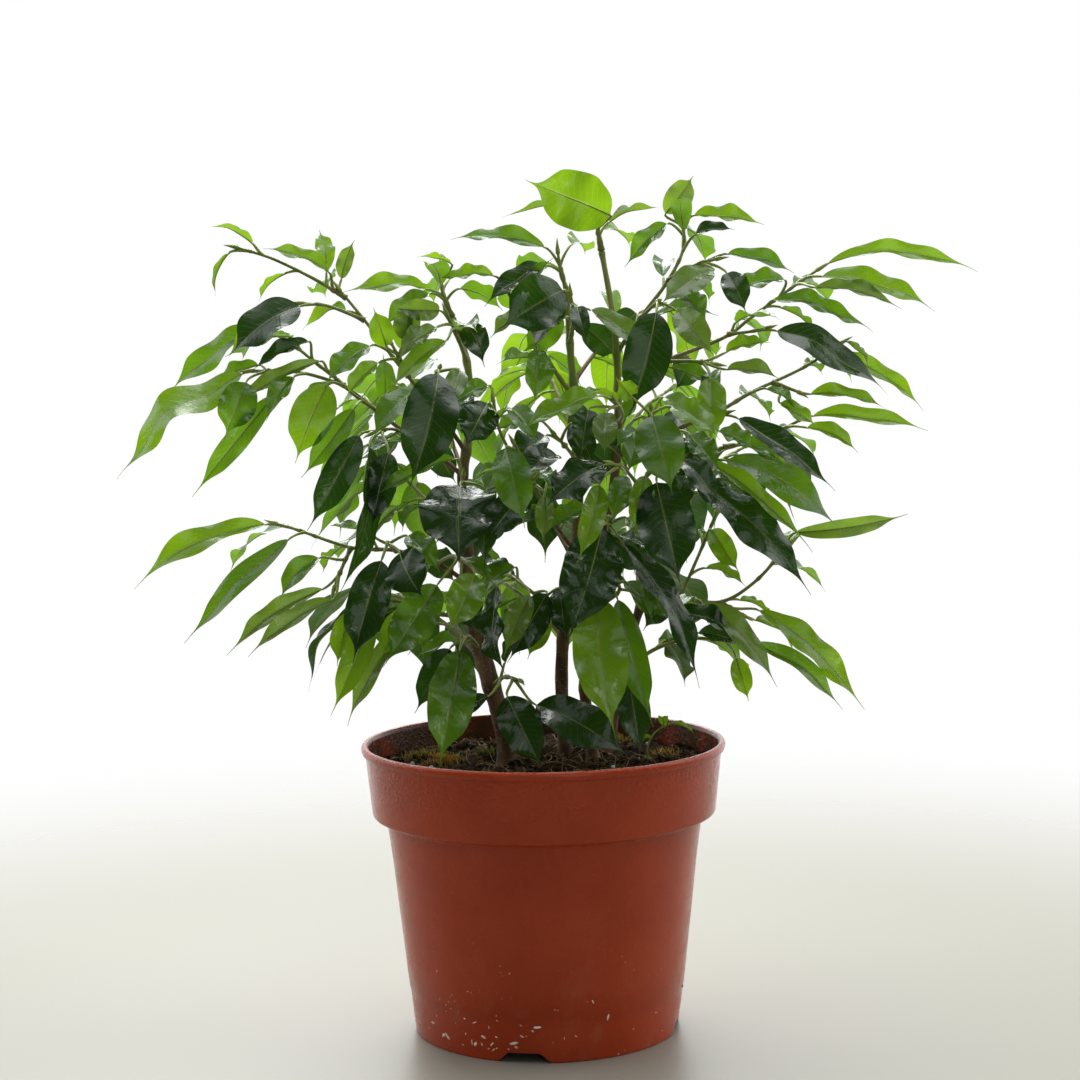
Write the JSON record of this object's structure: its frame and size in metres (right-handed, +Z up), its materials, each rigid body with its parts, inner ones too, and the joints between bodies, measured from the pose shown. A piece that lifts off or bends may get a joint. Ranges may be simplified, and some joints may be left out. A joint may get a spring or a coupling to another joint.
{
  "type": "potted weeping fig plant",
  "caption": "Small weeping fig with drooping pointed leaves on thin woody stems, standing in soil in a round plastic nursery pot with a deep collar.",
  "frame": {"origin": "middle of the pot's base, on the plane it stands on", "axes": "+Z up along the pot's axis, -Y to the plant's front, +X to the right seen from the front"},
  "size_m": [0.304, 0.1847, 0.302],
  "materials": {
    "pot_plastic": "smooth moulded plastic",
    "soil": null,
    "bark": "thin living bark",
    "leaf": null
  },
  "bodies": {
    "root": {"pot": "pot_plastic", "soil": "soil", "stem_1": "bark", "stem_2": "bark", "stem_3": "bark", "stem_4": "bark", "branch_01": "leaf", "branch_02": "leaf", "branch_03": "leaf", "branch_04": "leaf", "branch_05": "leaf", "branch_06": "leaf", "branch_07": "leaf", "branch_08": "leaf", "branch_09": "leaf", "branch_10": "leaf", "branch_11": "leaf", "branch_12": "leaf", "branch_13": "leaf", "branch_14": "leaf", "branch_15": "leaf", "branch_16": "leaf", "branch_17": "leaf", "branch_18": "leaf", "branch_19": "leaf", "branch_20": "leaf", "branch_21": "leaf", "branch_22": "leaf", "branch_23": "leaf", "branch_24": "leaf", "branch_25": "leaf", "branch_26": "leaf", "branch_27": "leaf", "branch_28": "leaf", "branch_29": "leaf", "branch_30": "leaf", "branch_31": "leaf", "branch_32": "leaf", "branch_33": "leaf", "branch_34": "leaf", "branch_35": "leaf", "branch_36": "leaf", "branch_37": "leaf", "branch_38": "leaf"}
  },
  "joints": []
}
